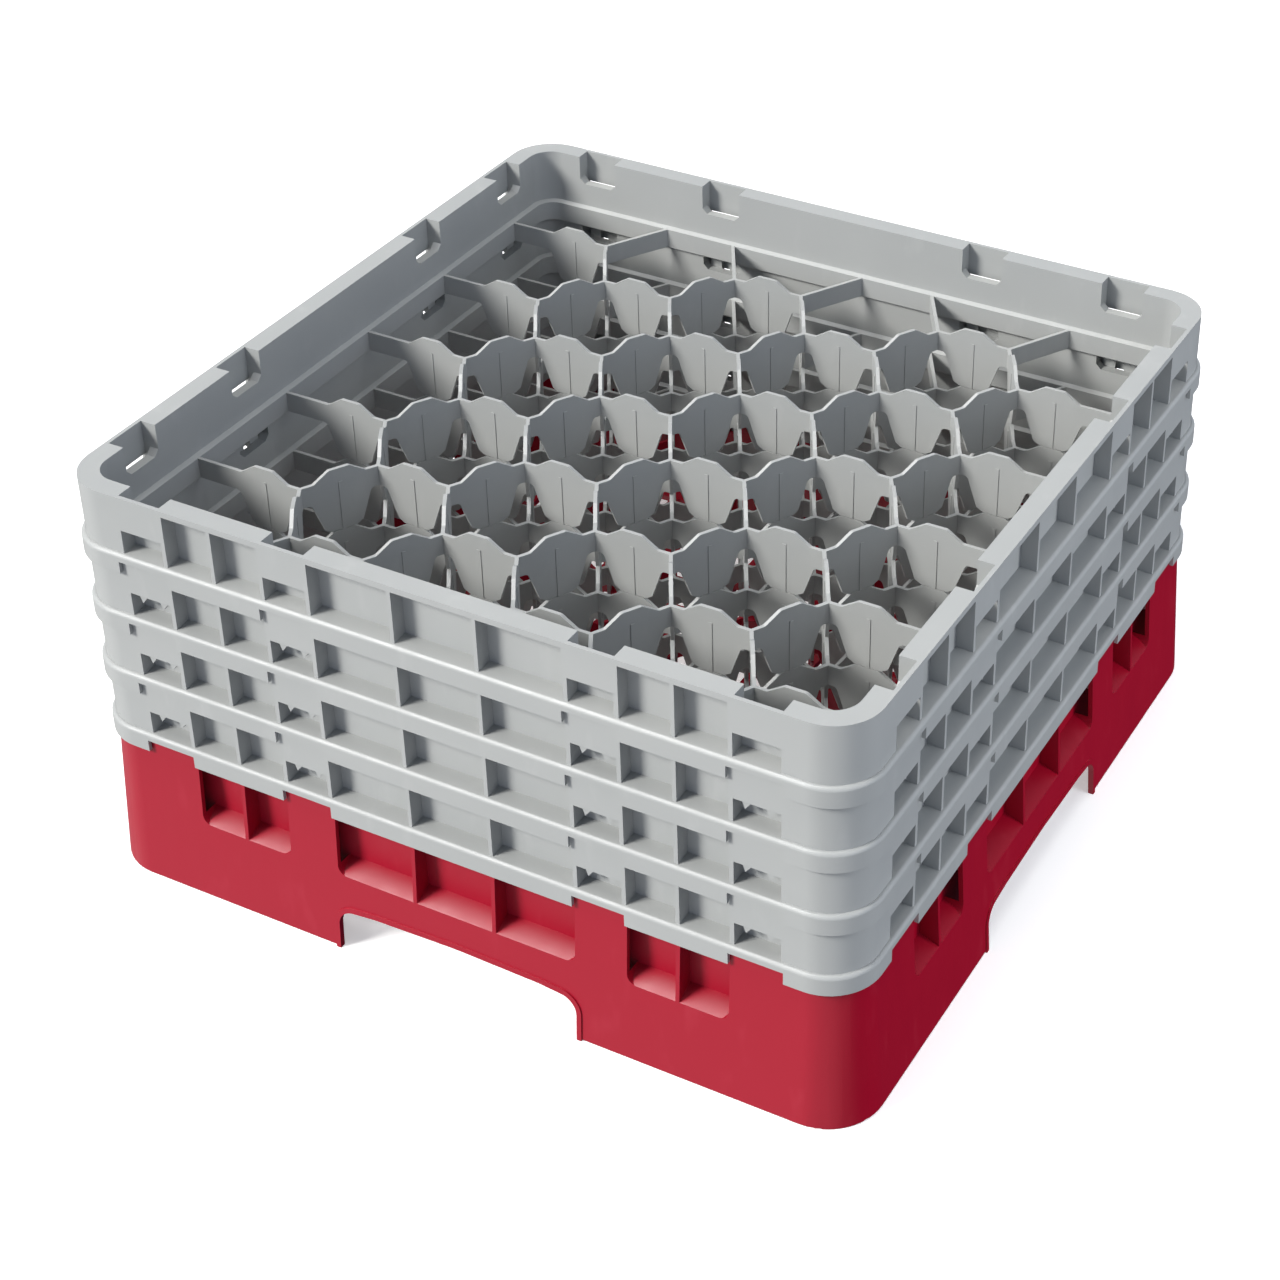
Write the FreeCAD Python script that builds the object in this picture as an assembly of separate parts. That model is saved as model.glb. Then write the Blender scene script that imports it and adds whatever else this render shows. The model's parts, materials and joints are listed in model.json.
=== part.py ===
"""Ware-washing glass and bottle rack: a flared base tray with four stacked extenders.

Millimetres, +Z up. The origin is the middle of the footprint, on the surface that the base stands on.
The front is towards -Y. Every moulding is made once, in its own position, and then copied.
A wall section is drawn as (p, z): p is the distance out from the rack's middle plane, z the height.
"""
import FreeCAD, Part
import math
import os

# ---- driving dimensions -------------------------------------------------------------------------
rim_width = 489.0          # across the flat outer faces, at every rim
foot_flare = 5.7           # how far the foot of the base stands out beyond the rim, each side
corner_radius = 28.0       # outer vertical corner, at the rim
corner_straight = 11.2     # flat run from the rounded corner to the seam with the next wall
base_height = 101.6        # floor to base rim
extender_rise = 41.275     # each extender adds this much
extender_count = 4

# walls
rim_depth = 12.5           # flat top of the rim, outside to inside
web = 2.5                  # inner wall
skin = 2.5                 # outer wall
rib = 2.4                  # ribs between the outside pockets
lip = 3.7                  # height of the flat rim over the pockets
ledge = 4.875              # floor of the pockets, which sits on the rim below
ledge_fall = 0.6           # the pocket floor drains outwards by this much
nose_radius = 2.4          # rounded outer edge of the ledge
skirt = 2.4                # outer skirt, hanging over the rim below
skirt_drop = 7.6
band = 2.9                 # inner band, nested inside the rim below
band_drop = 8.6
band_edge = 0.8            # rounded lower edge of the band
crease = 1.2               # slope from the inner band up to the inner wall
fit_gap = 0.3              # between the skirt or band and the rim that it fits over or into

# side layout
window_width = 32.5        # each flat panel that holds a window
window_height = 15.0
window_frame = 2.6         # solid upright each side of a window
bay_ratio = 1.672          # a middle bay's width over an outer bay's width

# recess behind each flat panel, for the snap tabs of the extender above
recess_floor = 2.0
recess_chamfer = 3.5
slit = 4.2                 # gap between the recess floor and the outer wall
tab_width = 8.0
tab_edge_gap = 2.65        # from the side of the recess to a tab
tab_side_gap = 0.4         # each side of the tab, in the slit
tab_tip = 7.0              # how far the pointed tip shows below the recess
tab_tip_aside = 1.33       # the tip is this far to the left of the tab's middle

# dividers: a honeycomb of thin humped panels
cell_rows = 5.5            # cells between the front and back walls; alternate columns are staggered
cell_columns = 6
divider = 1.9
divider_lip_proud = 0.15   # the top edge is thicker by this much on each face
divider_step = 2.5         # the thick edge ends this far below a junction
divider_rib = 2.4          # upright rib in the middle of a panel, on both faces
divider_rib_proud = 0.4
strip = 13.0               # height of a panel where it meets its neighbours
shoulder = 8.0             # flat top edge beside a junction
hump = 6.5                 # rise of the middle of a panel
hump_slope = 10.0
panel_edge = 3.0           # rounding of the bends in the top edge
lattice_gap = 0.7          # from the outermost row of junctions to the inner band
arch_top_half = 5.6        # opening under a junction, from the junction out, at its top
arch_foot_half = 12.3      # the same at its foot
arch_radius = 3.0
foot_chamfer = 4.1
foot_chamfer_rise = 2.5
stack_gap = 0.3            # between a panel's foot and the hump below it

# base
foot_wall = 2.8
foot_edge = 1.2            # rounding of the foot, outside
foot_edge_inside = 0.6
plain_below_skirt = 2.4    # the base's wall stays upright this far below the lowest skirt
floor_depth = 63.6         # from the base's rim down to its floor
floor_thickness = 4.0
floor_holes = 16           # along each side
floor_bar = 5.0
pocket_bottom = 53.0       # bottom edge of the base's outside pockets
pocket_rise = 5.0          # their floors rise this much towards the inner wall
pocket_floor = 2.5
pocket_corner = 6.0
handhold_half = 79.0
handhold_height = 30.0
handhold_bow = 1.5         # the middle of the hand-hold's top edge is this much higher
handhold_radius = 11.0
handhold_fall = 2.5        # the ends of the top edge are this much lower
handhold_end = 14.0        # length of each falling end
handhold_bend = 40.0       # radius where the ends meet the bowed middle
handhold_crown = 300.0     # radius of the bowed middle
bead = 3.0                 # rolled edge round a hand-hold
bead_proud = 0.8

# working values
clear = 1.0                # cutting shapes pass what they cut by this much
tiny = 1e-6                # shorter edges are left out

# ---- derived places ------------------------------------------------------------------------------
face = rim_width / 2
foot = face + foot_flare
wall_in = face - rim_depth
web_out = wall_in + web
skin_in = face - skin
skirt_in = face + fit_gap
nose_out = skirt_in + skirt
band_out = wall_in - fit_gap
band_in = band_out - band
arc_centre = face - corner_radius
seam = arc_centre - corner_straight
ledge_drop = extender_rise - ledge

outer_bay = (seam - 2 * window_width) / (2 + 1.5 * bay_ratio)
middle_bay = bay_ratio * outer_bay
group_half = 1.5 * middle_bay
panel_one_end = group_half + window_width
panel_two_start = panel_one_end + 2 * outer_bay
recess_depth = ledge_drop - window_height
tab_offset = window_width / 2 - window_frame - tab_edge_gap - tab_width / 2

divider_lip = divider + 2 * divider_lip_proud
lattice_half = band_out - lattice_gap
cell_pitch = 2 * lattice_half / cell_rows
side = cell_pitch / math.sqrt(3)
reach = handhold_half + bead
plain_top = skirt_drop + plain_below_skirt
flare_top = base_height - plain_top
floor_top = base_height - floor_depth


def vec(x, y, z):
    return FreeCAD.Vector(x, y, z)


def box(x0, x1, y0, y1, z0, z1):
    """Block between two corners."""
    return Part.makeBox(x1 - x0, y1 - y0, z1 - z0, vec(x0, y0, z0))


def fuse(shapes):
    """One clean shape from several that touch."""
    return shapes[0].multiFuse(shapes[1:]).removeSplitter()


def outline(corners, place):
    """Face inside the corners (a, b, radius); place turns (a, b) into a point."""
    runs = []
    for i, (a, b, radius) in enumerate(corners):
        here = vec(a, b, 0)
        before = (vec(*corners[i - 1][:2], 0) - here).normalize()
        after = (vec(*corners[(i + 1) % len(corners)][:2], 0) - here).normalize()
        half_angle = before.getAngle(after) / 2
        cut = radius / math.tan(half_angle)
        middle = (before + after).normalize() if radius else before
        bulge = here + middle * (radius / math.sin(half_angle) - radius)
        runs.append((here + before * cut, bulge, here + after * cut, radius))
    edges = []
    for i, (start, bulge, end, radius) in enumerate(runs):
        if radius:
            edges.append(Part.Arc(*[place(q.x, q.y) for q in (start, bulge, end)]).toShape())
        following = runs[(i + 1) % len(runs)][0]
        if (following - end).Length > tiny:
            segment = Part.LineSegment(place(end.x, end.y), place(following.x, following.y))
            edges.append(segment.toShape())
    return Part.Face(Part.Wire(edges))


def square(points):
    """Corners with no rounding."""
    return [(a, b, 0) for a, b in points]


def wall_run(section, start, end):
    """A front-wall section (p, z, radius) carried from x = start to x = end."""
    return outline(section, lambda p, z: vec(start, -p, z)).extrude(vec(end - start, 0, 0))


def corner_run(section):
    """A section carried round the front-right corner, from seam to seam."""
    turned = outline(section, lambda p, z: vec(arc_centre, -p, z))
    arc = turned.revolve(vec(arc_centre, -arc_centre, 0), vec(0, 0, 1), 90)
    along_x = wall_run(section, seam, arc_centre)
    along_y = wall_run(section, -arc_centre, -seam)
    along_y.rotate(vec(0, 0, 0), vec(0, 0, 1), 90)
    return fuse([arc, along_x, along_y])


def both_sides(shape):
    """The shape and its mirror image in the plane x = 0."""
    return [shape, shape.mirror(vec(0, 0, 0), vec(1, 0, 0))]


def turned(shape, quarter_turns):
    """Copy turned about the vertical axis."""
    copy = shape.copy()
    copy.rotate(vec(0, 0, 0), vec(0, 0, 1), 90 * quarter_turns)
    return copy


def raised(shape, height):
    """Copy moved up."""
    copy = shape.copy()
    copy.translate(vec(0, 0, height))
    return copy


# ---- extender walls -------------------------------------------------------------------------------
def ledge_line(with_skirt):
    """Corners from the foot of the face, round the nose and skirt, to the top of the inner band."""
    nose_bottom = -skirt_drop if with_skirt else 0
    corners = [(nose_out, ledge, nose_radius), (nose_out, nose_bottom, 0)]
    if with_skirt:
        corners += [(skirt_in, nose_bottom, 0), (skirt_in, 0, 0)]
    return corners


def band_line():
    """Corners of the inner band, from its outer face to the crease."""
    return [
        (band_out, 0, 0),
        (band_out, -band_drop, 0),
        (band_in, -band_drop, band_edge),
        (band_in, ledge, 0),
        (wall_in, ledge + crease, 0),
    ]


def extender_rib_section(with_skirt=True):
    """Solid from the inner wall to the face."""
    top = extender_rise
    return (
        square([(wall_in, top), (face, top), (face, ledge)])
        + ledge_line(with_skirt)
        + band_line()
    )


def extender_bay_section():
    """A pocket, open to the outside."""
    top = extender_rise
    pocket = [
        (wall_in, top),
        (face, top),
        (face, top - lip),
        (web_out, top - lip),
        (web_out, ledge + ledge_fall),
        (face, ledge),
    ]
    return square(pocket) + ledge_line(True) + band_line()


def extender_corner_section():
    """Two walls joined at the rim, with the space between them open from below."""
    top = extender_rise
    cavity = [
        (skin_in, 0),
        (skin_in, top - lip),
        (web_out, top - lip),
        (web_out, 0),
    ]
    return (
        square([(wall_in, top), (face, top), (face, ledge)])
        + ledge_line(True)
        + square(cavity)
        + band_line()
    )


def extender_window_sections():
    """The outer wall over a window, and the inner wall with the ledge under it."""
    top = extender_rise
    sill = top - recess_depth
    outer = square([(skin_in, top), (face, top), (face, sill), (skin_in, sill)])
    inner = square([
        (wall_in, sill + recess_floor),
        (skin_in - slit, sill + recess_floor),
        (skin_in - slit, sill),
        (web_out, sill),
        (web_out, ledge + ledge_fall),
        (face, ledge),
    ]) + ledge_line(False) + band_line()
    return outer, inner


def recess_corners(start, end, top, depth):
    """Chamfer blocks in the two lower corners of a recess."""
    floor = top - depth + recess_floor
    shapes = []
    for edge, inward in ((start, 1), (end, -1)):
        face_outline = outline(
            square([
                (edge, floor),
                (edge + inward * recess_chamfer, floor),
                (edge, floor + recess_chamfer),
            ]),
            lambda x, z: vec(x, -(skin_in - slit), z),
        )
        shapes.append(face_outline.extrude(vec(0, skin_in - slit - wall_in, 0)))
    return shapes


def window_panel(start, end):
    """One flat panel: two uprights, with a window and a recess between them."""
    left = start + window_frame
    right = end - window_frame
    outer, inner = extender_window_sections()
    parts = [
        wall_run(extender_rib_section(False), start, left),
        wall_run(extender_rib_section(False), right, end),
        wall_run(outer, left, right),
        wall_run(inner, left, right),
    ]
    return parts + recess_corners(left, right, extender_rise, recess_depth)


def rib_edges():
    """Pairs (start, end) of every rib in the right half of a side."""
    inner_rib = middle_bay / 2
    outer_rib = panel_one_end + outer_bay
    return [(inner_rib - rib / 2, inner_rib + rib / 2), (outer_rib - rib / 2, outer_rib + rib / 2)]


def extender_wall():
    """Front wall between the two corner seams."""
    bays = extender_bay_section()
    ribs = extender_rib_section()
    (rib_one, rib_one_end), (rib_two, rib_two_end) = rib_edges()
    half = [
        wall_run(bays, 0, rib_one),
        wall_run(ribs, rib_one, rib_one_end),
        wall_run(bays, rib_one_end, group_half),
        wall_run(bays, panel_one_end, rib_two),
        wall_run(ribs, rib_two, rib_two_end),
        wall_run(bays, rib_two_end, panel_two_start),
    ]
    half += window_panel(group_half, panel_one_end)
    half += window_panel(panel_two_start, seam)
    return fuse([copy for shape in half for copy in both_sides(shape)])


# ---- snap tabs -------------------------------------------------------------------------------------
def snap_tabs():
    """Two pointed tabs for each recess, hanging from the ledge."""
    depth = recess_depth + tab_tip
    thickness = slit - 2 * tab_side_gap
    half = tab_width / 2
    tab = outline(
        square([
            (-half, 0),
            (half, 0),
            (half, -recess_depth),
            (-tab_tip_aside, -depth),
            (-half, -recess_depth),
        ]),
        lambda x, z: vec(x, -(skin_in - tab_side_gap), z),
    ).extrude(vec(0, thickness, 0))
    tabs = []
    for start in (group_half, panel_two_start):
        for offset in (-tab_offset, tab_offset):
            for sign in (-1, 1):
                copy = tab.copy()
                copy.translate(vec(sign * (start + window_width / 2) + offset, 0, 0))
                tabs += [turned(copy, quarter) for quarter in range(4)]
    return tabs


# ---- dividers --------------------------------------------------------------------------------------
def panel_outline(length, hang, stub):
    """Corners (u, z) of a panel; u = 0 is a junction's middle and z = 0 is its top edge.

    hang is the depth of the panel's foot, and stub the plain strip added beyond u = 0.
    """
    slope = (arch_foot_half - arch_top_half) / (extender_rise - hump - strip - foot_chamfer_rise)
    knee = hang - foot_chamfer_rise
    arch_at_knee = arch_top_half + slope * (knee - strip)
    plateau = shoulder + hump_slope
    return [
        (-stub, 0, 0),
        (shoulder, 0, panel_edge),
        (plateau, hump, panel_edge),
        (length - plateau, hump, panel_edge),
        (length - shoulder, 0, panel_edge),
        (length, 0, 0),
        (length, -strip, 0),
        (length - arch_top_half, -strip, arch_radius),
        (length - arch_at_knee, -knee, 0),
        (length - arch_at_knee - foot_chamfer, -hang, 0),
        (arch_at_knee + foot_chamfer, -hang, 0),
        (arch_at_knee, -knee, 0),
        (arch_top_half, -strip, arch_radius),
        (-stub, -strip, 0),
    ]


def plan_points(start, end, point_start, point_end):
    """Plan of a panel: its faces, with a 120 degree point at each end that meets two more panels."""
    half = divider_lip / 2
    mitre = half / math.sqrt(3)
    points = [(start + mitre * point_start, half), (end - mitre * point_end, half)]
    if point_end:
        points.append((end, 0))
    points += [(end - mitre * point_end, -half), (start + mitre * point_start, -half)]
    if point_start:
        points.append((start, 0))
    return square(points)


def thinned(shape, start, end, foot):
    """The shape with both its faces stepped in below the thick top edge, from x = start to x = end."""
    half = divider_lip / 2
    above = box(start, end, divider / 2, half, foot, -divider_step)
    return shape.cut(above).cut(box(start, end, -half, -divider / 2, foot, -divider_step))


def panel(length, hang, stub=0.0):
    """A humped panel along +X from a junction at the origin."""
    half = divider_lip / 2
    body = outline(panel_outline(length, hang, stub), lambda u, z: vec(u, -half, z))
    body = body.extrude(vec(0, divider_lip, 0))
    plan = outline(plan_points(-stub, length, not stub, True), lambda u, v: vec(u, v, -hang))
    body = body.common(plan.extrude(vec(0, 0, hang + hump)))
    body = thinned(body, -stub, length, -hang)
    proud = divider / 2 + divider_rib_proud
    middle = length / 2
    half_rib = divider_rib / 2
    upright = box(middle - half_rib, middle + half_rib, -proud, proud, -hang, -divider_step)
    return fuse([body, upright])


def wall_stub(length):
    """A plain strip from a junction to the wall, before it is trimmed."""
    plan = outline(plan_points(0, length, True, False), lambda u, v: vec(u, v, -strip))
    return thinned(plan.extrude(vec(0, 0, strip)), 0, length, -strip)


def column_ends(column):
    """Left and right junctions of a column's cross panels."""
    left = (1.5 * column - 0.75 * cell_columns + 0.25) * side
    return left, left + side


def row_place(row):
    """Height in plan of a row of junctions; rows are half a cell apart."""
    return -lattice_half + row * cell_pitch / 2


def placed(shape, x, y, angle):
    """Copy turned by an angle about its own junction and moved to a place in plan."""
    copy = shape.copy()
    copy.rotate(vec(0, 0, 0), vec(0, 0, 1), angle)
    copy.translate(vec(x, y, 0))
    return copy


def divider_panels(hang):
    """Every panel of one honeycomb, with the junctions' top edges at z = 0."""
    last_row = round(2 * cell_rows)
    inner_panel = panel(side, hang)
    stub_length = band_in - abs(column_ends(0)[0])
    wall_panel = panel(side, hang, stub_length)
    strip_long = wall_stub(side)
    room = box(-band_in, band_in, -band_in, band_in, -strip, 0)
    panels = []
    for column in range(cell_columns):
        left, right = column_ends(column)
        first = column % 2
        for row in range(first or 2, last_row, 2):
            if column == 0:
                panels.append(placed(wall_panel, left, row_place(row), 0))
            elif column == cell_columns - 1:
                panels.append(placed(wall_panel, right, row_place(row), 180))
            else:
                panels.append(placed(inner_panel, left, row_place(row), 0))
    for column in range(cell_columns - 1):
        ends = (column_ends(column)[1], column_ends(column + 1)[0])
        for row in range(last_row):
            leans_right = row % 2 == column % 2
            low, high = ends if leans_right else ends[::-1]
            angle = 60 if leans_right else 120
            if row == 0:
                panels.append(placed(strip_long, high, row_place(1), angle - 180).common(room))
            elif row == last_row - 1:
                panels.append(placed(strip_long, low, row_place(row), angle).common(room))
            else:
                panels.append(placed(inner_panel, low, row_place(row), angle))
    return panels


# ---- base -------------------------------------------------------------------------------------------
def base_face(z):
    """Outer face of the base's wall at a height: upright at the top, flared below."""
    return face + foot_flare * max(0.0, 1 - z / flare_top)


def base_inside(z):
    """Inner face of the outer wall at a height."""
    return base_face(z) - foot_wall


def base_outside_line():
    """Corners down the outside of the base and in under its foot."""
    return [
        (face, flare_top, 0),
        (foot, 0, foot_edge),
        (foot - foot_wall, 0, foot_edge_inside),
    ]


def base_web_line():
    """Corners of the inner wall's foot."""
    foot_of_web = floor_top - floor_thickness
    return square([(web_out, foot_of_web), (wall_in, foot_of_web)])


def base_plain_section():
    """Two walls joined at the rim, open from below."""
    top = base_height
    inside = [
        (base_inside(top), flare_top),
        (base_inside(top), top - lip),
        (web_out, top - lip),
    ]
    return (
        square([(wall_in, top), (face, top)])
        + base_outside_line()
        + square(inside)
        + base_web_line()
    )


def base_recess_sections():
    """The outer wall and the lowered inner wall where the lowest snap tabs hang."""
    top = base_height
    inside_top = base_inside(top)
    outer = (
        square([(inside_top, top), (face, top)])
        + base_outside_line()
        + square([(inside_top, flare_top)])
    )
    low = top - recess_depth + recess_floor
    inner = square([(wall_in, low), (web_out, low)]) + base_web_line()
    return outer, inner


def pocket_floor_line():
    """Corners under a pocket's sloping floor, from outside to inside."""
    low = pocket_bottom - pocket_floor
    return square([(base_inside(low), low), (web_out, low + pocket_rise)])


def base_bay_section():
    """A pocket with a sloping floor."""
    top = base_height
    pocket = [
        (wall_in, top),
        (face, top),
        (face, top - lip),
        (web_out, top - lip),
        (web_out, pocket_bottom + pocket_rise),
        (base_face(pocket_bottom), pocket_bottom),
    ]
    foot_line = base_outside_line()[1:]
    return square(pocket) + foot_line + pocket_floor_line() + base_web_line()


def base_rib_section():
    """Solid above the line of the pocket floors."""
    top = base_height
    return (
        square([(wall_in, top), (face, top)])
        + base_outside_line()
        + pocket_floor_line()
        + base_web_line()
    )


def base_panel(start, end):
    """A flat panel of the base, with its inside recess."""
    left = start + window_frame
    right = end - window_frame
    outer, inner = base_recess_sections()
    return [
        wall_run(base_plain_section(), start, left),
        wall_run(base_plain_section(), right, end),
        wall_run(outer, left, right),
        wall_run(inner, left, right),
    ]


def pocket_corner_blocks(start, end):
    """Fillets in the two lower corners of a pocket group."""
    blocks = []
    top = pocket_bottom + pocket_rise + pocket_corner
    solid = wall_run(base_rib_section(), start, end)
    for edge, inward in ((start, 1), (end, -1)):
        far = edge + inward * pocket_corner
        corner = box(min(edge, far), max(edge, far), -foot, -web_out, pocket_bottom - clear, top)
        hole = Part.makeCylinder(
            pocket_corner, foot, vec(far, 0, pocket_bottom + pocket_corner), vec(0, -1, 0)
        )
        round_top = pocket_bottom + pocket_corner
        above = box(min(edge, far), max(edge, far), -foot, -web_out, round_top, top)
        blocks.append(solid.common(corner).cut(hole).cut(above))
    return blocks


def handhold_outline(grow):
    """Corners (x, z) of the arch in the foot, made larger all round by grow."""
    half = handhold_half + grow
    height = handhold_height + grow
    bend = half - handhold_radius - handhold_end
    return [
        (-half, -clear, 0),
        (half, -clear, 0),
        (half, height - handhold_fall, handhold_radius + grow),
        (bend, height, handhold_bend),
        (0, height + handhold_bow, handhold_crown),
        (-bend, height, handhold_bend),
        (-half, height - handhold_fall, handhold_radius + grow),
    ]


def arch_prism(grow):
    """The arch as a block through the front wall."""
    outside = foot + bead_proud + clear
    arch = outline(handhold_outline(grow), lambda x, z: vec(x, -outside, z))
    return arch.extrude(vec(0, outside - web_out, 0))


def base_wall():
    """Front wall of the base between the corner seams, with pockets and a hand-hold."""
    (rib_one, rib_one_end), (rib_two, rib_two_end) = rib_edges()
    bays = base_bay_section()
    ribs = base_rib_section()
    half = [
        wall_run(bays, 0, rib_one),
        wall_run(ribs, rib_one, rib_one_end),
        wall_run(bays, rib_one_end, group_half),
        wall_run(bays, panel_one_end, rib_two),
        wall_run(ribs, rib_two, rib_two_end),
        wall_run(bays, rib_two_end, panel_two_start),
    ]
    half += base_panel(group_half, panel_one_end)
    half += base_panel(panel_two_start, seam)
    half += pocket_corner_blocks(panel_one_end, panel_two_start)
    half += pocket_corner_blocks(-group_half, group_half)[1:]
    wall = fuse([copy for shape in half for copy in both_sides(shape)])
    slab_top = handhold_height + handhold_bow + 2 * bead
    slab = wall_run(
        square([
            (base_inside(slab_top), slab_top),
            (base_face(slab_top) + bead_proud, slab_top),
            (foot + bead_proud, 0),
            (foot - foot_wall, 0),
        ]),
        -reach - clear,
        reach + clear,
    )
    rolled_edge = slab.common(arch_prism(bead).cut(arch_prism(0)))
    return fuse([wall.cut(arch_prism(0)), rolled_edge])


def floor_grid():
    """Open floor: square holes between bars, with corners that follow the inner wall."""
    radius = corner_radius - rim_depth
    low = floor_top - floor_thickness
    plate = outline(
        [(sx * wall_in, sy * wall_in, radius) for sx, sy in ((-1, -1), (1, -1), (1, 1), (-1, 1))],
        lambda x, y: vec(x, y, low),
    ).extrude(vec(0, 0, floor_thickness))
    pitch = 2 * lattice_half / floor_holes
    hole = pitch - floor_bar
    slots = []
    for row in range(floor_holes):
        y = -lattice_half + (row + 0.5) * pitch
        slots.append(box(-lattice_half, lattice_half, y - hole / 2, y + hole / 2, low, floor_top))
    bars = []
    for column in range(floor_holes + 1):
        middle = -lattice_half + column * pitch
        bar = box(middle - floor_bar / 2, middle + floor_bar / 2, -lattice_half, lattice_half, low, floor_top)
        bars.append(bar.common(plate))
    return fuse([plate.cut(slots)] + bars)


# ---- write the sub-parts -----------------------------------------------------------------------------
SIDES = ("front", "right", "back", "left")


def write(name, shapes):
    """Save one sub-part."""
    solids = [solid for shape in shapes for solid in shape.Solids]
    shape = solids[0] if len(solids) == 1 else Part.makeCompound(solids)
    shape.exportStep(f"parts/{name}.step")


def main():
    os.makedirs("parts", exist_ok=True)
    wall = base_wall()
    corner = corner_run(base_plain_section())
    for quarter, name in enumerate(SIDES):
        write(f"base_{name}_wall", [turned(wall, quarter)])
    write("base_corners", [turned(corner, quarter) for quarter in range(4)])
    write("base_floor", [floor_grid()])
    junction = base_height + ledge - extender_rise
    low_panels = divider_panels(junction - floor_top)
    write("base_dividers", [raised(shape, junction) for shape in low_panels])

    wall = extender_wall()
    corner = corner_run(extender_corner_section())
    tabs = snap_tabs()
    panels = divider_panels(extender_rise - hump - stack_gap)
    for number in range(1, extender_count + 1):
        seat = base_height + (number - 1) * extender_rise
        for quarter, name in enumerate(SIDES):
            write(f"extender_{number}_{name}_wall", [raised(turned(wall, quarter), seat)])
        corners = [raised(turned(corner, quarter), seat) for quarter in range(4)]
        write(f"extender_{number}_corners", corners)
        write(f"extender_{number}_dividers", [raised(shape, seat + ledge) for shape in panels])
        write(f"extender_{number}_snap_tabs", [raised(shape, seat) for shape in tabs])


main()
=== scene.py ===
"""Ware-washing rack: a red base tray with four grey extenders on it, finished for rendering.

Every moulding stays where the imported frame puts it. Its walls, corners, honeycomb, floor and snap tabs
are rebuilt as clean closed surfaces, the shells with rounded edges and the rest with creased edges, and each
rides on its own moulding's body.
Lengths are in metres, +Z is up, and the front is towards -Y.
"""
import json
import logging
import math
from dataclasses import dataclass, field
from enum import Enum

import bmesh
import bpy
import numpy as np
from mathutils import Matrix, Vector

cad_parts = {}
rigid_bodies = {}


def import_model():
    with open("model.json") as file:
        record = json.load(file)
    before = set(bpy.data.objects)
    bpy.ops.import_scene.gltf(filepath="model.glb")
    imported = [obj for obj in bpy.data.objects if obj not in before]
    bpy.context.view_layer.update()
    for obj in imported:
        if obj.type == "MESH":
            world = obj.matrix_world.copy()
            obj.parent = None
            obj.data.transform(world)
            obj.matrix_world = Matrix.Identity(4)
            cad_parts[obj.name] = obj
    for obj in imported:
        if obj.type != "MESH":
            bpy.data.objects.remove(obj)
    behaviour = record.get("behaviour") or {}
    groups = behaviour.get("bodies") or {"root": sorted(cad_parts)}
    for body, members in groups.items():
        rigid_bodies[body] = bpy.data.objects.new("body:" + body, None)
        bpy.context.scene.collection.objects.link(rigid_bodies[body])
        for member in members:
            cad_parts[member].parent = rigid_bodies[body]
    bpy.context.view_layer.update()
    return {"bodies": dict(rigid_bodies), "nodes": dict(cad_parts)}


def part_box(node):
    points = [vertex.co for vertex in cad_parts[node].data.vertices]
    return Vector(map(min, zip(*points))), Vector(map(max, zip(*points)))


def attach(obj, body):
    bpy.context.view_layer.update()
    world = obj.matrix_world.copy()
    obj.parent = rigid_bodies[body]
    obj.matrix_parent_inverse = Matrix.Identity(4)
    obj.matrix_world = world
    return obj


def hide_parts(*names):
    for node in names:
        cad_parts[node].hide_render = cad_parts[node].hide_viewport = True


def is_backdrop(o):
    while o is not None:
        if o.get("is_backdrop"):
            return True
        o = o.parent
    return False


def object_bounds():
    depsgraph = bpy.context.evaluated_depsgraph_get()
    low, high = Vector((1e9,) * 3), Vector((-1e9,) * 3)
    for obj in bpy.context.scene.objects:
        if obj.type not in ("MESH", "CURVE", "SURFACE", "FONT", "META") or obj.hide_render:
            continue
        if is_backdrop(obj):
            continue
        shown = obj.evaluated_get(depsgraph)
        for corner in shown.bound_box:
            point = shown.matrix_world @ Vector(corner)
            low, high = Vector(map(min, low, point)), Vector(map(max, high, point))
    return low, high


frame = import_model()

MM = 0.001
WELD = 0.01 * MM
TINY = 1e-15
Triple = tuple[float, float, float]
Span = tuple[float, float]
Socket = bpy.types.NodeSocket
log = logging.getLogger("rack")


class Slot(Enum):
    """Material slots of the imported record."""

    BASE = "base_plastic"
    EXTENDER = "extender_plastic"


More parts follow.
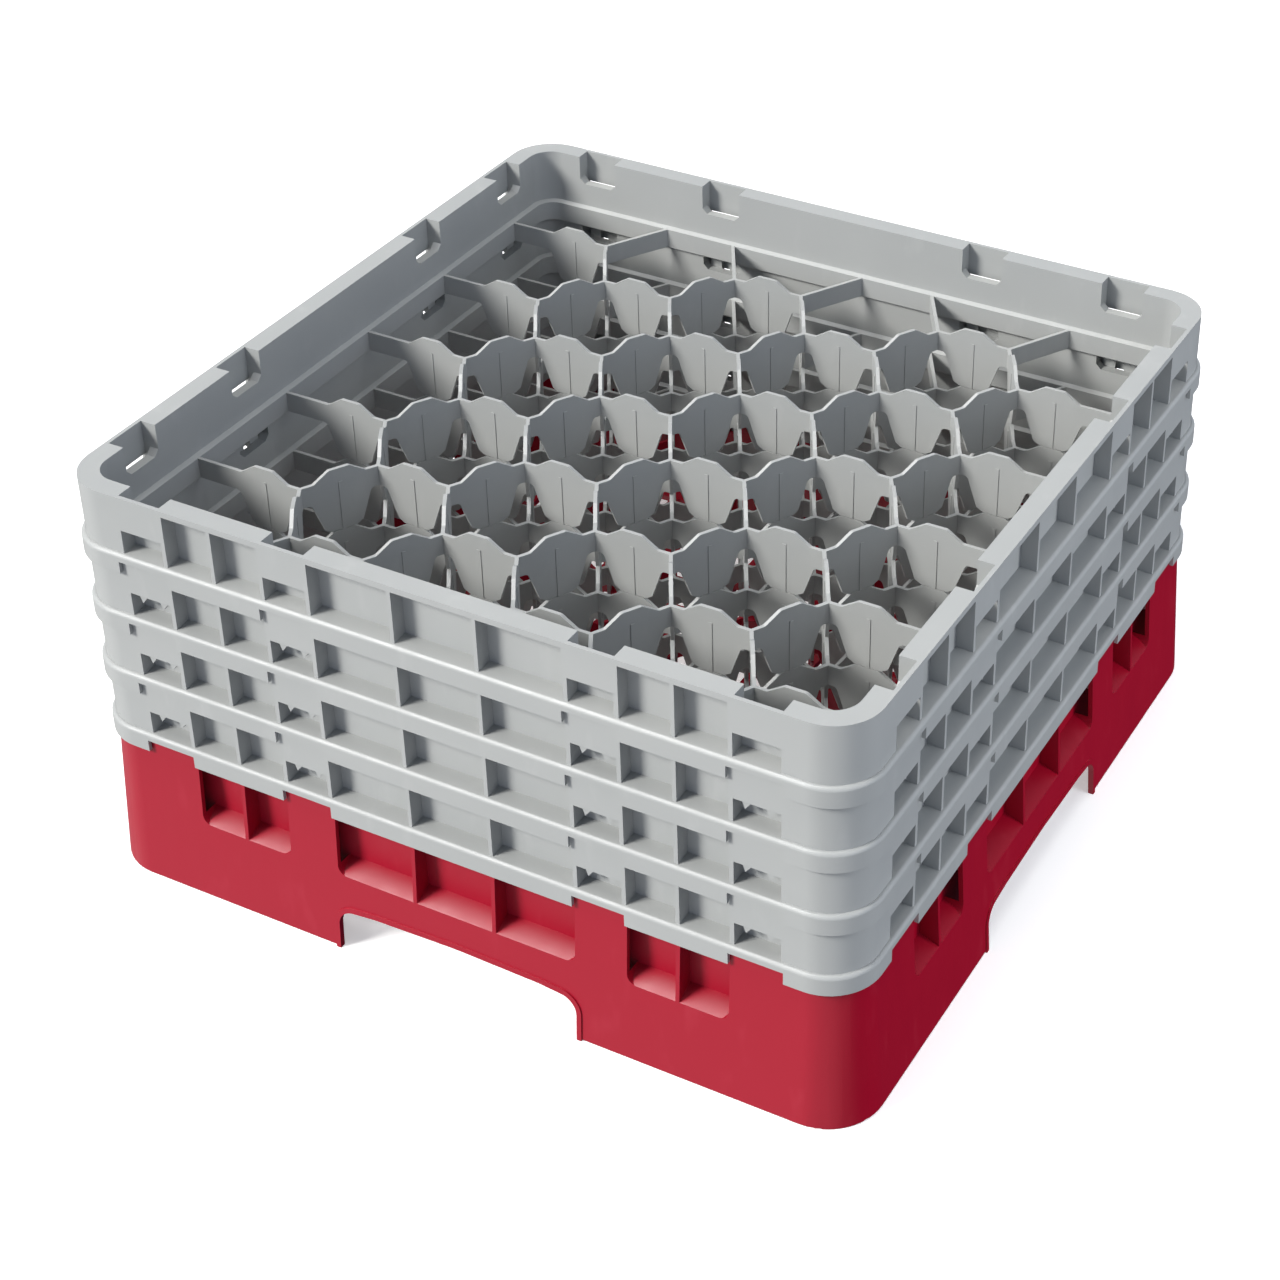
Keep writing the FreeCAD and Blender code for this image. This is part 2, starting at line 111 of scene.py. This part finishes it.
# ---- finishes --------------------------------------------------------------------------------------
@dataclass(frozen=True)
class Wiring:
    """Node tree of a material or world, with the steps that the finishes share."""

    tree: bpy.types.NodeTree

    def noise(self, scale: float, detail: float = 2.0, stretch: Triple = (1.0, 1.0, 1.0)) -> Socket:
        """Noise value on Object coordinates, stretched along each axis by 1 / stretch."""
        nodes, links = self.tree.nodes, self.tree.links
        mapping = nodes.new("ShaderNodeMapping")
        mapping.inputs["Scale"].default_value = stretch
        texture = nodes.new("ShaderNodeTexNoise")
        texture.inputs["Scale"].default_value = scale
        texture.inputs["Detail"].default_value = detail
        links.new(nodes.new("ShaderNodeTexCoord").outputs["Object"], mapping.inputs["Vector"])
        links.new(mapping.outputs["Vector"], texture.inputs["Vector"])
        return texture.outputs["Fac"]

    def spread(self, value: Socket, source: Span, result: Span = (0.0, 1.0), curve: str = "LINEAR") -> Socket:
        """Carry the source range of a value to the result range, clamped."""
        ramp = self.tree.nodes.new("ShaderNodeMapRange")
        ramp.interpolation_type = curve
        for socket, end in zip(("From Min", "From Max", "To Min", "To Max"), (*source, *result)):
            ramp.inputs[socket].default_value = end
        self.tree.links.new(value, ramp.inputs["Value"])
        return ramp.outputs["Result"]

    def mixed(self, factor: Socket, first: Socket | Triple, second: Triple) -> Socket:
        """Mix a colour, or another mix, with a second colour."""
        mix = self.tree.nodes.new("ShaderNodeMix")
        mix.data_type = "RGBA"
        self.tree.links.new(factor, mix.inputs["Factor"])
        if isinstance(first, tuple):
            mix.inputs["A"].default_value = (*first, 1.0)
        else:
            self.tree.links.new(first, mix.inputs["A"])
        mix.inputs["B"].default_value = (*second, 1.0)
        return mix.outputs["Result"]

    def relief(self, height: Socket, depth: float, strength: float, under: Socket | None = None) -> Socket:
        """Normal of a bump, on top of another bump's normal if there is one."""
        bump = self.tree.nodes.new("ShaderNodeBump")
        bump.inputs["Strength"].default_value = strength
        bump.inputs["Distance"].default_value = depth
        self.tree.links.new(height, bump.inputs["Height"])
        if under:
            self.tree.links.new(under, bump.inputs["Normal"])
        return bump.outputs["Normal"]


@dataclass(frozen=True)
class MouldedPlastic:
    """Satin injection-moulded polypropylene with faint clouds, a fine spark-eroded grain and dull scuffs."""

    name: str
    colour: Triple
    cloud_colour: Triple
    scuff_colour: Triple
    roughness: float = 0.43
    roughness_spread: float = 0.10
    roughness_band: Span = (0.35, 0.70)
    specular: float = 0.40
    refraction: float = 1.49
    cloud_scale: float = 9.0
    cloud_detail: float = 3.0
    cloud_stretch: Triple = (1.0, 1.0, 1.6)
    cloud_band: Span = (0.35, 0.65)
    scuff_scale: float = 70.0
    scuff_detail: float = 6.0
    scuff_stretch: Triple = (1.0, 1.0, 0.35)
    scuff_band: Span = (0.60, 0.78)
    scuff_cover: Span = (0.0, 0.55)
    grain_scale: float = 2300.0
    grain_band: Span = (0.3, 0.7)
    grain_cover: Span = (0.0, 0.10)
    grain_depth: float = 0.025 * MM
    grain_strength: float = 0.35
    wave_scale: float = 22.0
    wave_detail: float = 1.0
    wave_depth: float = 0.4 * MM
    wave_strength: float = 0.25

    def build(self) -> bpy.types.Material:
        """Make the node material.

        Returns:
            The material, with colour, roughness and bump driven by noise on Object coordinates.
        """
        material = bpy.data.materials.new(self.name)
        material.use_nodes = True
        wiring = Wiring(material.node_tree)
        shader = material.node_tree.nodes["Principled BSDF"]
        shader.inputs["Specular IOR Level"].default_value = self.specular
        shader.inputs["IOR"].default_value = self.refraction

        clouds = wiring.noise(self.cloud_scale, self.cloud_detail, self.cloud_stretch)
        scuffs = wiring.noise(self.scuff_scale, self.scuff_detail, self.scuff_stretch)
        grain = wiring.noise(self.grain_scale)
        waves = wiring.noise(self.wave_scale, self.wave_detail)

        colour = wiring.mixed(wiring.spread(clouds, self.cloud_band), self.colour, self.cloud_colour)
        scuffed = wiring.spread(scuffs, self.scuff_band, self.scuff_cover)
        colour = wiring.mixed(scuffed, colour, self.scuff_colour)
        speckle = wiring.spread(grain, self.grain_band, self.grain_cover)
        colour = wiring.mixed(speckle, colour, self.scuff_colour)

        half = self.roughness_spread / 2
        limits = (self.roughness - half, self.roughness + half)
        rough = wiring.spread(scuffs, self.roughness_band, limits)
        wavy = wiring.relief(waves, self.wave_depth, self.wave_strength)
        grained = wiring.relief(grain, self.grain_depth, self.grain_strength, wavy)
        for socket, source in (("Base Color", colour), ("Roughness", rough), ("Normal", grained)):
            material.node_tree.links.new(source, shader.inputs[socket])
        return material


@dataclass(frozen=True)
class StudioPaper:
    """Plain pale floor with a barely visible mottle. It glows a little, so that shadows on it stay faint."""

    name: str = "studio_floor"
    colour: Triple = (0.84, 0.84, 0.84)
    mottle: float = 0.985
    mottle_scale: float = 3.0
    roughness: float = 0.9
    specular: float = 0.1
    glow: float = 0.42

    def build(self) -> bpy.types.Material:
        """Make the matt floor material."""
        material = bpy.data.materials.new(self.name)
        material.use_nodes = True
        wiring = Wiring(material.node_tree)
        shader = material.node_tree.nodes["Principled BSDF"]
        shader.inputs["Roughness"].default_value = self.roughness
        shader.inputs["Specular IOR Level"].default_value = self.specular
        shader.inputs["Emission Color"].default_value = (1.0, 1.0, 1.0, 1.0)
        shader.inputs["Emission Strength"].default_value = self.glow
        darker = tuple(self.mottle * part for part in self.colour)
        colour = wiring.mixed(wiring.noise(self.mottle_scale), self.colour, darker)
        material.node_tree.links.new(colour, shader.inputs["Base Color"])
        return material


# ---- surfaces --------------------------------------------------------------------------------------
@dataclass
class Surface:
    """Points and triangles of a closed surface, as whole arrays."""

    points: np.ndarray
    faces: np.ndarray

    @classmethod
    def of_nodes(cls, *names: str) -> "Surface":
        """Read CAD nodes and weld their loose triangles.

        Args:
            names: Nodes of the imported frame.

        Returns:
            One surface with every node's triangles, turned the way that they point in the frame.
        """
        points, faces, start = [], [], 0
        for name in names:
            mesh = frame["nodes"][name].data
            mesh.calc_loop_triangles()
            place = np.empty(3 * len(mesh.vertices), np.float32)
            mesh.vertices.foreach_get("co", place)
            corner = np.empty(3 * len(mesh.loop_triangles), np.int32)
            mesh.loop_triangles.foreach_get("vertices", corner)
            points.append(place.reshape(-1, 3).astype(float))
            faces.append(corner.reshape(-1, 3) + start)
            start += len(mesh.vertices)
        return cls(np.concatenate(points), np.concatenate(faces)).welded()

    def welded(self) -> "Surface":
        """Merge points closer than the weld distance, and drop the triangles that this closes up."""
        cell = np.round(self.points / WELD).astype(np.int64)
        _, first, inverse = np.unique(cell, axis=0, return_index=True, return_inverse=True)
        faces = inverse.reshape(-1)[self.faces]
        a, b, c = faces.T
        return Surface(self.points[first], faces[(a != b) & (b != c) & (c != a)])

    def normals(self) -> np.ndarray:
        """Unit normal of each triangle: the cross product of two of its edges, over its length."""
        a, b, c = (self.points[self.faces[:, i]] for i in range(3))
        cross = np.cross(b - a, c - a)
        return cross / np.maximum(np.linalg.norm(cross, axis=1, keepdims=True), TINY)

    def without(self, drop: np.ndarray) -> "Surface":
        """The surface with the marked triangles left out."""
        return Surface(self.points, self.faces[~drop])

    def mesh(self, name: str) -> bpy.types.Mesh:
        """Put the arrays in a new mesh."""
        mesh = bpy.data.meshes.new(name)
        mesh.from_pydata(self.points, [], self.faces)
        mesh.update()
        return mesh


def made(name: str, mesh: bpy.types.Mesh) -> bpy.types.Object:
    """Link an object for a mesh, at the origin."""
    piece = bpy.data.objects.new(name, mesh)
    bpy.context.scene.collection.objects.link(piece)
    return piece


def joined(name: str, parts: list[Surface]) -> bpy.types.Mesh:
    """Union of closed surfaces that touch.

    Args:
        name: Name of the new mesh.
        parts: Closed surfaces.

    Returns:
        One closed mesh with no inner walls.
    """
    operands = [made(f"{name}_operand", part.mesh(f"{name}_operand")) for part in parts]
    whole = operands[0]
    for other in operands[1:]:
        step = whole.modifiers.new("join", "BOOLEAN")
        step.operation = "UNION"
        step.solver = "EXACT"
        step.object = other
    graph = bpy.context.evaluated_depsgraph_get()
    mesh = bpy.data.meshes.new_from_object(whole.evaluated_get(graph), depsgraph=graph)
    mesh.name = name
    for operand in operands:
        old = operand.data
        bpy.data.objects.remove(operand)
        bpy.data.meshes.remove(old)
    return mesh


def cleaned(
    mesh: bpy.types.Mesh, short: float = 0.02 * MM, flat: float = math.radians(0.8)
) -> bpy.types.Mesh:
    """Merge flat neighbours into whole faces, so that only real edges are left to round.

    Args:
        mesh: Closed mesh of triangles, changed in place.
        short: Edges below this length are closed up.
        flat: Neighbours that meet at less than this angle become one face.

    Returns:
        The same mesh.
    """
    work = bmesh.new()
    work.from_mesh(mesh)
    bmesh.ops.remove_doubles(work, verts=work.verts, dist=short)
    bmesh.ops.dissolve_degenerate(work, edges=work.edges, dist=short)
    bmesh.ops.dissolve_limit(
        work, angle_limit=flat, use_dissolve_boundaries=False, verts=work.verts, edges=work.edges
    )
    work.to_mesh(mesh)
    work.free()
    mesh.update()
    return mesh


def raised_copy(mesh: bpy.types.Mesh, name: str, rise: float) -> bpy.types.Mesh:
    """Copy of a mesh, moved up."""
    copy = mesh.copy()
    copy.name = name
    place = np.empty(3 * len(copy.vertices), np.float32)
    copy.vertices.foreach_get("co", place)
    place = place.reshape(-1, 3)
    place[:, 2] += rise
    copy.vertices.foreach_set("co", place.ravel())
    copy.update()
    return copy


# ---- mouldings -------------------------------------------------------------------------------------
@dataclass
class Moulding:
    """One moulded ring: four walls and four corners, joined into one shell, and its honeycomb."""

    body: str
    slot: Slot
    material: bpy.types.Material
    edge: float = 0.45 * MM
    edge_steps: int = 2
    edge_from: float = math.radians(32)
    crease_from: float = math.radians(30)
    cell_pitch: float = 84.0 * MM
    columns: int = 6
    rows: int = 11
    point_reach: float = 1.4 * MM
    upright_limit: float = 0.1
    sides: tuple[str, ...] = ("front", "right", "back", "left")

    def nodes(self, *kinds: str) -> list[str]:
        """Names of this moulding's nodes of these kinds."""
        return [f"{self.body}_{kind}" for kind in kinds]

    def wall_nodes(self) -> list[str]:
        """Names of its walls and corners."""
        return self.nodes(*(f"{side}_wall" for side in self.sides), "corners")

    def shell_mesh(self) -> bpy.types.Mesh:
        """Walls and corners as one closed skin: the union of the five closed node surfaces."""
        parts = [Surface.of_nodes(node) for node in self.wall_nodes()]
        return cleaned(joined(f"{self.body}_shell", parts))

    def honeycomb_mesh(self) -> bpy.types.Mesh:
        """Divider panels as one closed web.

        Three panels meet at every junction, each with a 120 degree point, and their points touch face to
        face. Those faces are inside the web: they are the upright triangles whose corners all lie within
        point_reach of a junction's axis. They are dropped, and what is left closes up.

        Returns:
            Closed mesh.
        """
        web = Surface.of_nodes(*self.nodes("dividers"))
        away = web.points[:, None, :2] - self.junctions()[None, :, :]
        gap = np.sqrt((away**2).sum(axis=2)).min(axis=1)
        upright = np.abs(web.normals()[:, 2]) < self.upright_limit
        point = gap[web.faces].max(axis=1) < self.point_reach
        return cleaned(web.without(upright & point).mesh(f"{self.body}_honeycomb"))

    def junctions(self) -> np.ndarray:
        """Plan points where three panels meet.

        A cell's side is its pitch over the square root of 3. Column c of cross panels starts at
        (1.5 c - 0.75 columns + 0.25) sides and ends a side further on; row r lies at (r - rows / 2) half
        pitches. Panels take every second place of that grid, like one colour of a chessboard. The ends of
        the outermost columns by the walls run on into the wall and join no other panel, so they are left
        out.

        Returns:
            Points in rows of x and y.
        """
        side = self.cell_pitch / math.sqrt(3)
        column, row = np.meshgrid(np.arange(self.columns), np.arange(1, self.rows), indexing="ij")
        used = (column + row) % 2 == 0
        left = (1.5 * column[used] - 0.75 * self.columns + 0.25) * side
        across = (row[used] - self.rows / 2) * self.cell_pitch / 2
        points = np.concatenate([np.stack([end, across], axis=1) for end in (left, left + side)])
        wall_ends = (0.75 * self.columns - 0.25) * side
        return points[np.abs(points[:, 0]) < wall_ends - self.point_reach]

    def finish(self, mesh: bpy.types.Mesh, kind: str, nodes: list[str], edge: float = 0.0) -> None:
        """Make a piece, round or crease its edges, give it its finish, tie it to its body, and hide the nodes
        that it stands for.

        Args:
            mesh: Closed mesh, already in place.
            kind: What the piece is called after its body's name.
            nodes: CAD nodes that it stands for.
            edge: Width of the rounded edges. At zero the edges are only creased.
        """
        piece = made(f"{self.body}_{kind}", mesh)
        mesh.materials.clear()
        mesh.materials.append(self.material)
        mesh.polygons.foreach_set("use_smooth", np.ones(len(mesh.polygons), bool))
        if edge:
            bevel = piece.modifiers.new("rounded_edges", "BEVEL")
            bevel.width = edge
            bevel.segments = self.edge_steps
            bevel.limit_method = "ANGLE"
            bevel.angle_limit = self.edge_from
            bevel.use_clamp_overlap = True
            bevel.miter_outer = "MITER_SHARP"
        else:
            mesh.set_sharp_from_angle(angle=self.crease_from)
        weighted = piece.modifiers.new("flat_faces", "WEIGHTED_NORMAL")
        weighted.keep_sharp = True
        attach(piece, self.body)
        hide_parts(*nodes)
        log.info("%s: %d faces, rides on %s", piece.name, len(mesh.polygons), self.body)


@dataclass
class BaseTray(Moulding):
    """The flared base: shell, open floor and low honeycomb."""

    def build(self) -> None:
        """Make the base's three pieces."""
        self.finish(self.shell_mesh(), "shell", self.wall_nodes(), self.edge)
        floor = self.nodes("floor")
        self.finish(cleaned(Surface.of_nodes(*floor).mesh("base_floor_grid")), "floor_grid", floor)
        self.finish(self.honeycomb_mesh(), "honeycomb", self.nodes("dividers"))


@dataclass
class Extender(Moulding):
    """One extender: shell, honeycomb and the 32 pointed snap tabs that hang into the ring below."""

    def tab_mesh(self) -> bpy.types.Mesh:
        """Snap tabs as closed solids."""
        return cleaned(Surface.of_nodes(*self.nodes("snap_tabs")).mesh(f"{self.body}_tabs"))

    def pattern(self) -> dict[str, bpy.types.Mesh]:
        """The three meshes, by kind, that every extender is a raised copy of."""
        return {"shell": self.shell_mesh(), "honeycomb": self.honeycomb_mesh(), "tabs": self.tab_mesh()}

    def build(self, pattern: dict[str, bpy.types.Mesh], rise: float) -> None:
        """Make the extender's three pieces from the lowest one's meshes.

        Args:
            pattern: Meshes of the lowest extender, by kind.
            rise: How much higher this one stands.
        """
        owners = {
            "shell": self.wall_nodes(),
            "honeycomb": self.nodes("dividers"),
            "tabs": self.nodes("snap_tabs"),
        }
        for kind, mesh in pattern.items():
            copy = raised_copy(mesh, f"{self.body}_{kind}", rise)
            self.finish(copy, kind, owners[kind], self.edge if kind == "shell" else 0.0)


# ---- studio ----------------------------------------------------------------------------------------
@dataclass(frozen=True)
class Lamp:
    """One soft square light that looks at a point."""

    name: str
    place: Triple
    target: Triple
    size: float
    power: float
    colour: Triple = (1.0, 1.0, 1.0)
    lights_faces: bool = True
    seen_in_gloss: bool = True

    def build(self) -> None:
        """Make the light."""
        light = bpy.data.lights.new(self.name, "AREA")
        light.shape = "SQUARE"
        light.size = self.size
        light.energy = self.power
        light.color = self.colour
        lamp = bpy.data.objects.new(self.name, light)
        bpy.context.scene.collection.objects.link(lamp)
        lamp.location = self.place
        aim = Vector(self.target) - Vector(self.place)
        lamp.rotation_euler = aim.to_track_quat("-Z", "Y").to_euler()
        lamp.visible_diffuse = self.lights_faces
        lamp.visible_glossy = self.seen_in_gloss


@dataclass(frozen=True)
class Sun:
    """One distant light, which shines from the direction of its place."""

    name: str
    place: Triple
    strength: float
    spread: float
    colour: Triple = (1.0, 0.985, 0.95)

    def build(self) -> None:
        """Make the light."""
        light = bpy.data.lights.new(self.name, "SUN")
        light.energy = self.strength
        light.angle = self.spread
        light.color = self.colour
        sun = bpy.data.objects.new(self.name, light)
        bpy.context.scene.collection.objects.link(sun)
        sun.rotation_euler = (-Vector(self.place)).to_track_quat("-Z", "Y").to_euler()


@dataclass(frozen=True)
class Surroundings:
    """World: a dim zenith, a paler horizon, and a bright table edge to the front and left."""

    zenith: Triple = (0.22, 0.23, 0.26)
    horizon: Triple = (0.54, 0.62, 0.78)
    below_front: Triple = (0.70, 0.70, 0.70)
    below_back: Triple = (0.02, 0.025, 0.04)
    front_left: Triple = (-0.45, -0.89, 0.0)
    front_band: Span = (-0.25, 0.45)
    horizon_band: Span = (-0.12, 0.02)
    zenith_band: Span = (0.15, 0.80)

    def build(self) -> None:
        """Make the world.

        The direction looked in is a unit vector. Its dot product with front_left carries the colour below
        the horizon from back to front. Its height then carries that to the horizon's colour, and on to the
        zenith's.
        """
        world = bpy.data.worlds.new("studio_surroundings")
        world.use_nodes = True
        nodes, links = world.node_tree.nodes, world.node_tree.links
        wiring = Wiring(world.node_tree)
        direction = nodes.new("ShaderNodeTexCoord").outputs["Generated"]
        parts = nodes.new("ShaderNodeSeparateXYZ")
        links.new(direction, parts.inputs["Vector"])
        forward = nodes.new("ShaderNodeVectorMath")
        forward.operation = "DOT_PRODUCT"
        forward.inputs[1].default_value = self.front_left
        links.new(direction, forward.inputs[0])

        height = parts.outputs["Z"]
        colour = self.below_back
        for value, band, last in (
            (forward.outputs["Value"], self.front_band, self.below_front),
            (height, self.horizon_band, self.horizon),
            (height, self.zenith_band, self.zenith),
        ):
            colour = wiring.mixed(wiring.spread(value, band, curve="SMOOTHSTEP"), colour, last)
        links.new(colour, nodes["Background"].inputs["Color"])
        bpy.context.scene.world = world


@dataclass
class Studio:
    """Pale floor, soft lights, and the camera above the near corner."""

    azimuth: float = math.radians(26.933)
    look_down: float = math.radians(33.257)
    roll: float = math.radians(0.592)
    camera_place: Triple = (0.66919, -1.13163, 1.04176)
    lens: float = 74.057
    sensor: float = 36.0
    shift: Span = (-0.1352, -0.1025)
    far: float = 100.0
    floor_half: float = 14.0
    floor_gap: float = 0.05 * MM
    suns: list[Sun] = field(default_factory=lambda: [
        Sun("key", (-0.74, -0.89, 0.78), 4.4, math.radians(18)),
        Sun("top", (0.0, 0.0, 1.0), 1.4, math.radians(34)),
    ])
    lamps: list[Lamp] = field(default_factory=lambda: [
        Lamp("overhead", (-1.0, -0.5, 2.5), (0.0, -0.15, 0.1), 1.3, 150.0, lights_faces=False),
        Lamp("left_fill", (-1.3, -1.3, 0.9), (-0.2, -0.25, 0.15), 0.8, 2.0),
        Lamp(
            "right_fill", (1.8, 0.25, 0.16), (0.25, 0.1, 0.13), 0.28, 12.0,
            colour=(0.95, 0.97, 1.0), seen_in_gloss=False,
        ),
        Lamp(
            "right_sky", (1.5, 0.0, 1.3), (-0.1, 0.0, 0.2), 0.8, 8.0,
            colour=(0.85, 0.92, 1.0), seen_in_gloss=False,
        ),
    ])

    def build(self) -> None:
        """Make the floor, world, lights and camera."""
        self.floor()
        Surroundings().build()
        for light in (*self.suns, *self.lamps):
            light.build()
        self.camera()
        bpy.context.scene.view_settings.view_transform = "Standard"

    def floor(self) -> None:
        """Square floor a hair under the foot. It catches shadows but throws no light back at the rack."""
        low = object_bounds()[0][2] - self.floor_gap
        half = self.floor_half
        corners = [(-half, -half, low), (half, -half, low), (half, half, low), (-half, half, low)]
        mesh = bpy.data.meshes.new("studio_floor")
        mesh.from_pydata(corners, [], [(0, 1, 2, 3)])
        floor = made("studio_floor", mesh)
        mesh.materials.append(StudioPaper().build())
        floor.visible_diffuse = False
        floor.visible_glossy = False
        floor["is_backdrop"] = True

    def camera(self) -> None:
        """Camera that looks down over the near corner, with a small shift to frame the rack."""
        data = bpy.data.cameras.new("camera")
        data.lens = self.lens
        data.sensor_width = self.sensor
        data.shift_x, data.shift_y = self.shift
        data.clip_end = self.far
        camera = bpy.data.objects.new("camera", data)
        bpy.context.scene.collection.objects.link(camera)
        turn = (
            Matrix.Rotation(self.azimuth, 4, "Z")
            @ Matrix.Rotation(math.pi / 2 - self.look_down, 4, "X")
            @ Matrix.Rotation(self.roll, 4, "Z")
        )
        camera.matrix_world = Matrix.Translation(self.camera_place) @ turn
        bpy.context.scene.camera = camera


# ---- assembly --------------------------------------------------------------------------------------
def main() -> None:
    """Build every moulding and the studio."""
    logging.basicConfig(level=logging.INFO, format="%(name)s: %(message)s")
    red = MouldedPlastic(
        "cherry_red_plastic",
        colour=(0.315, 0.0012, 0.016),
        cloud_colour=(0.307, 0.0012, 0.015),
        scuff_colour=(0.355, 0.014, 0.032),
    ).build()
    grey = MouldedPlastic(
        "soft_grey_plastic",
        colour=(0.352, 0.359, 0.352),
        cloud_colour=(0.335, 0.343, 0.337),
        scuff_colour=(0.394, 0.398, 0.391),
    ).build()

    BaseTray("base", Slot.BASE, red).build()
    bodies = sorted(name for name in frame["bodies"] if name.startswith("extender"))
    pattern = Extender(bodies[0], Slot.EXTENDER, grey).pattern()
    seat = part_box(f"{bodies[0]}_corners")[0].z
    for body in bodies:
        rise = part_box(f"{body}_corners")[0].z - seat
        Extender(body, Slot.EXTENDER, grey).build(pattern, rise)
    Studio().build()


if __name__ == "__main__":
    main()
